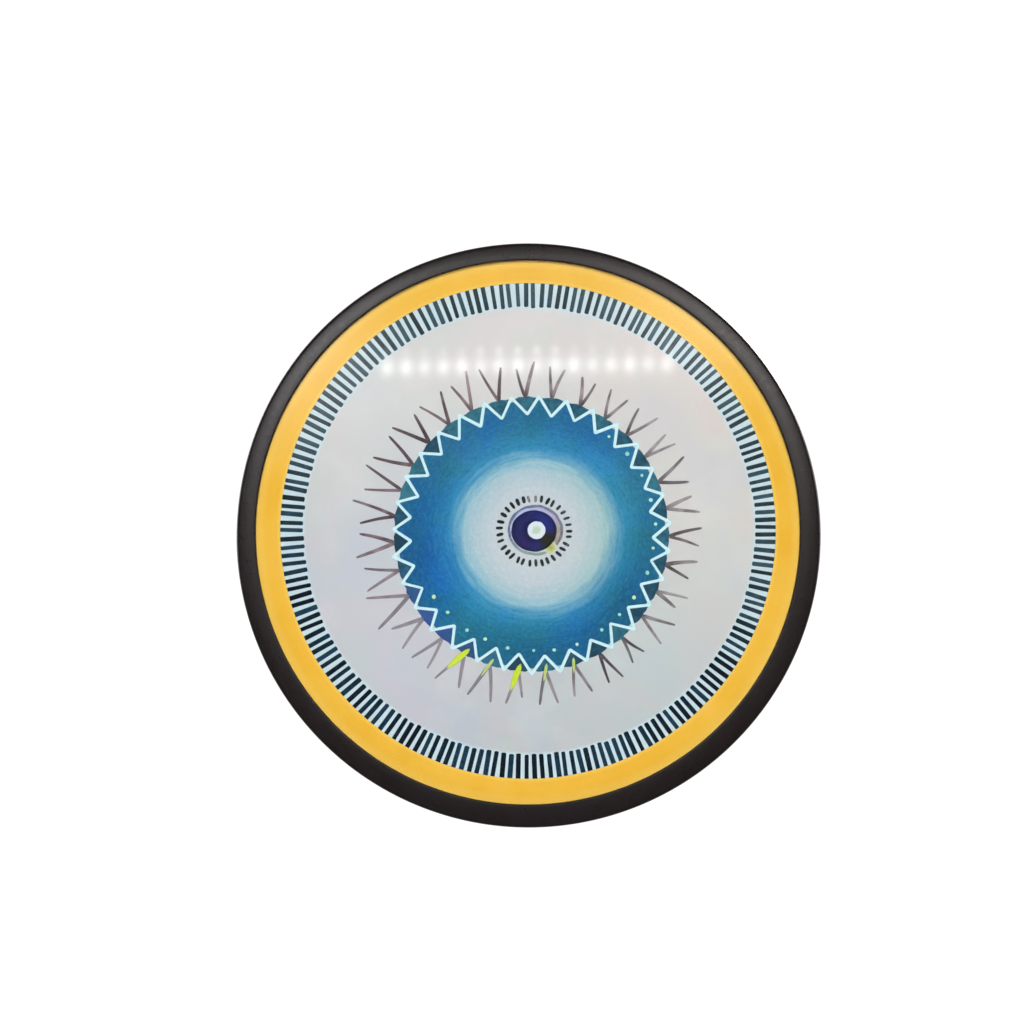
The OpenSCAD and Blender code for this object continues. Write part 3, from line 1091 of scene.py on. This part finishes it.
def build_back():
    dress("filler_board", filler_material())
    dress("backing_board", hardboard_material())
    zinc = metal_material("plated_steel", (176, 172, 162), (206, 202, 192), 0.3)
    for joint in frame["joints"]:
        if joint["child"].startswith("button_"):
            make_turn_button(joint["child"].removeprefix("button_"), joint["pos_m"], zinc)
    dress("turn_button_screws", metal_material("screw_steel", (188, 176, 138), (212, 202, 170), 0.28))
    make_hanger_strap(zinc)
    make_hanger_eye(zinc)
    make_rivets(metal_material("rivet_steel", (190, 186, 178), (214, 210, 204), 0.25))
    rubber = rubber_material()
    dress("wall_bumper_left", rubber)
    dress("wall_bumper_right", rubber)


# ---- studio
VIEW_DISTANCE = 3.0
FRAME_SPAN = 1.7505 * 2 * 150 * MM
CAMERA_SHIFT = (-8.5 * MM, 12.05 * MM)


def make_camera():
    camera = bpy.data.cameras.new("camera")
    camera.sensor_width = 36
    camera.lens = camera.sensor_width * VIEW_DISTANCE / FRAME_SPAN
    camera.clip_start = 0.01
    camera.clip_end = 100
    rig = add_object("camera", camera)
    rig.location = (CENTRE_X + CAMERA_SHIFT[0], FRONT_Y - VIEW_DISTANCE, CENTRE_Z + CAMERA_SHIFT[1])
    rig.rotation_euler = (math.radians(90), 0, 0)
    bpy.context.scene.camera = rig


WHITE_POWER = 11.2


def area_light(name, place, size, level, mirrored, colour=(1.0, 1.0, 1.0)):
    """A round soft light; level 1 alone would show a white card as white."""
    aim = Vector((CENTRE_X, FRONT_Y, CENTRE_Z)) - Vector(place)
    light = bpy.data.lights.new(name, "AREA")
    light.shape = "DISK"
    light.size = size
    light.energy = level * WHITE_POWER * aim.length_squared
    light.color = colour
    rig = add_object(name, light)
    rig.location = place
    rig.rotation_euler = aim.to_track_quat("-Z", "Y").to_euler()
    rig.visible_glossy = mirrored
    rig.visible_transmission = mirrored
    rig.visible_camera = False


def make_lights():
    """A broad front light, softboxes for the rim's gleam, and two lights for the back."""
    area_light("front_soft", (0.0, -3.0, CENTRE_Z + 0.45), 1.0, 0.74, False)
    area_light("rim_left", (-0.54, -2.2, CENTRE_Z + 0.5), 0.6, 0.068, True)
    area_light("rim_right", (0.52, -2.2, CENTRE_Z + 0.52), 0.6, 0.064, True, (1.0, 0.98, 0.94))
    area_light("side_left", (-2.2, 0.5, CENTRE_Z + 0.4), 1.4, 0.16, True)
    area_light("side_right", (2.2, 0.5, CENTRE_Z + 0.4), 1.4, 0.16, True)
    area_light("back_left", (1.4, 1.8, CENTRE_Z + 1.2), 1.2, 0.55, True)
    area_light("back_right", (-1.6, 1.6, CENTRE_Z + 0.5), 1.2, 0.3, True)


SOFT_GREY = (0.25, 0.25, 0.25, 1)
WHITE = (1, 1, 1, 1)
WHITE_STRENGTH = 1.05


def make_world():
    """White to the camera, soft grey light, and little to mirror on the camera's side."""
    world = bpy.data.worlds.new("studio")
    n = Nodes(world)
    soft = n.nodes["Background"]
    soft.inputs["Color"].default_value = SOFT_GREY
    white = n.add("Background", {"Color": WHITE, "Strength": WHITE_STRENGTH})
    wallward = n.add("SeparateXYZ", {0: n.add("TexCoord", output="Generated")}, "Y")
    mirrored = n.add("Background", {"Color": n.spread(wallward, 0.1, 0.8, 0.03, 0.6)})
    glossy_ray = n.add("LightPath", output="Is Glossy Ray")
    camera_ray = n.add("LightPath", output="Is Camera Ray")
    lit = n.add("MixShader", {0: glossy_ray, 1: soft.outputs[0], 2: mirrored})
    seen = n.add("MixShader", {0: camera_ray, 1: lit, 2: white})
    n.feed(n.nodes["World Output"].inputs["Surface"], seen)
    bpy.context.scene.world = world


FLOOR_R = 1.2
FLOOR_DROP = 0.35
FLOOR_GREY = (0.85, 0.85, 0.85, 1)
FLOOR_PALE = (0.9, 0.9, 0.9, 1)


def make_floor():
    """A small pale floor below the ornament, under the camera's view."""
    bm = bmesh.new()
    bmesh.ops.create_circle(bm, cap_ends=True, radius=FLOOR_R, segments=96)
    s = Shade("floor_paint", 0.9)
    blotch = {"Factor": s.noise(3.0, rough=0.55), 6: FLOOR_GREY, 7: FLOOR_PALE}
    s.colour(s.add("Mix", blotch, 2, data_type="RGBA"))
    floor = mesh_object("floor", bm, s.material)
    floor.location = (0, 0, ring_low.z - FLOOR_DROP)
    floor.visible_glossy = False


def glow_material():
    """Light of each point's own strength, added to whatever lies behind it."""
    s = Shade("lamp_glow")
    glow = s.add("Emission", {"Strength": s.add("Attribute", output="Fac", attribute_name="glow")})
    s.surface(s.add("AddShader", {0: s.add("BsdfTransparent"), 1: glow}))
    s.nodes.remove(s.shader)
    return s.material


GLOW_STEPS = (0.0, 0.2, 0.4, 0.6, 0.8, 1.0, 1.25, 1.5, 1.8, 2.2)
GLOW_TURNS = 20
LAMP_COUNT = 16
LAMP_SPACING = 9.57
LAMP_START = -72.5
LAMP_HEIGHT = 87.2
LAMP_SLOPE = 0.012
LAMP_REACH = (5.0, 6.2)
LAMP_STRENGTH = 4.1
SECOND_ROW = (5, 6, 7, 8, 9)
SECOND_RISE = 7.5
SECOND_REACH = (2.6, 3.4)
SECOND_BRIGHT = 1.9
SECOND_FAINT = 0.8
GLOW_GAP = 0.001
# hazes: place seen in the pane, reach and strength
HAZES = (
    ((0, LAMP_HEIGHT - 2), (80, 11), 0.65),
    ((-118, 99), (58, 58), 1.9),
    ((92, 120), (58, 58), 1.7),
    ((0, 150), (90, 40), 0.6),
)


def soft_glow(bm, seen, reach, strength, order):
    """A soft oval light beside the camera that the pane mirrors at seen, in millimetres."""
    eye = bpy.context.scene.camera.location
    middle = (2 * (CENTRE_X + seen[0] * MM) - eye.x, 2 * (CENTRE_Z + seen[1] * MM) - eye.z)
    rows = []
    for share in GLOW_STEPS:
        outline = oval((2 * reach[0] * share * MM, 2 * reach[1] * share * MM), GLOW_TURNS, middle)
        level = strength * math.exp(-2.0 * share ** 2) if share < GLOW_STEPS[-1] else 0.0
        rows.append(corners(bm, [(x, eye.y + GLOW_GAP * order, z) for x, z in outline], level, "glow"))
    skin(bm, rows)


def make_mirrored_lamps():
    """The row of small lamps, its fainter second row, and the haze round them."""
    bm = bmesh.new()
    for i in range(LAMP_COUNT):
        x = LAMP_START + i * LAMP_SPACING
        z = LAMP_HEIGHT + LAMP_SLOPE * x
        strength = LAMP_STRENGTH * (0.92 + 0.16 * math.sin(2.1 * i))
        soft_glow(bm, (x, z), LAMP_REACH, strength, i)
        second = SECOND_BRIGHT if i in SECOND_ROW else SECOND_FAINT
        soft_glow(bm, (x, z + SECOND_RISE), SECOND_REACH, second, i + 20)
    for order, (seen, reach, strength) in enumerate(HAZES, 40):
        soft_glow(bm, seen, reach, strength, order)
    lamps = mesh_object("mirrored_lamps", bm, glow_material())
    lamps.visible_camera = False
    lamps.visible_shadow = False
    lamps.visible_diffuse = False


make_camera()
make_lights()
make_world()
make_floor()
make_mirrored_lamps()
build_front()
build_painting()
build_back()
bpy.context.scene.view_settings.view_transform = "Standard"
